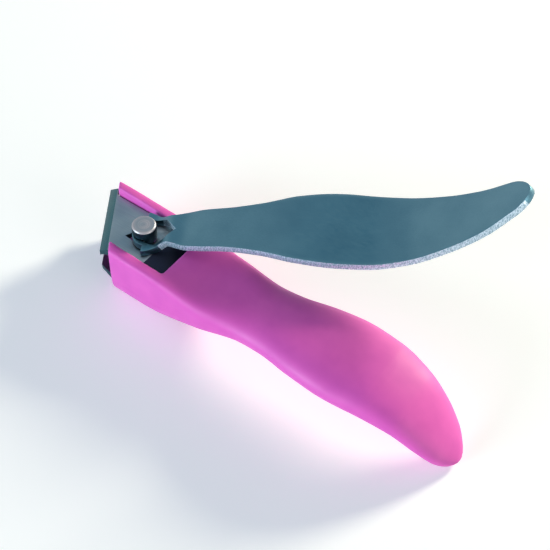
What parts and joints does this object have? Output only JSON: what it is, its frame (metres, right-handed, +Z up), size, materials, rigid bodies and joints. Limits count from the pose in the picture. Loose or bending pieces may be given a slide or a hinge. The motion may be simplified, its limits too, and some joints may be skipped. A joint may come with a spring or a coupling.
{
  "type": "nail clipper",
  "caption": "Nail clipper with a slanted cutting edge, a deep-channelled leaf-shaped handle and a swivelling, up-curled lever.",
  "frame": {"origin": "on the pivot pin's axis, in the flat under the head", "axes": "+X towards the tail of the handle, +Y towards the side the lever is swung out to, +Z up through the pivot pin"},
  "size_m": [0.0964, 0.0513, 0.0382],
  "materials": {
    "handle": "matte soft-touch coating",
    "blade": "black nickel, brushed",
    "lever": "black nickel, satin",
    "pin": "black nickel, turned",
    "plain_steel": "plain"
  },
  "bodies": {
    "handle": {"handle_body": "handle", "lower_blade": "blade", "anchor_pin_near": "plain_steel", "anchor_pin_far": "plain_steel"},
    "upper_jaw": {"upper_blade": "blade"},
    "pin": {"pivot_pin": "pin"},
    "lever": {"lever": "lever"}
  },
  "joints": [
    {"name": "lever_swivel", "type": "hinge", "parent": "handle", "child": "pin", "pos_m": [0, 0, 0.0132], "axis": [0, 0, 1], "continuous": true},
    {"name": "lever_press", "type": "hinge", "parent": "pin", "child": "lever", "pos_m": [-0.00113, -0.00065, 0.01425], "axis": [-0.5, 0.866, 0], "range_deg": [0, 2]},
    {"name": "jaw_close", "type": "hinge", "parent": "handle", "child": "upper_jaw", "pos_m": [0.0315, 0, 0.01], "axis": [0, -1, 0], "range_deg": [0, 4], "stiffness_Nm_per_rad": 5}
  ],
  "couplings": [
    {"joint": "jaw_close", "follows": "lever_press", "ratio": 1.95}
  ]
}
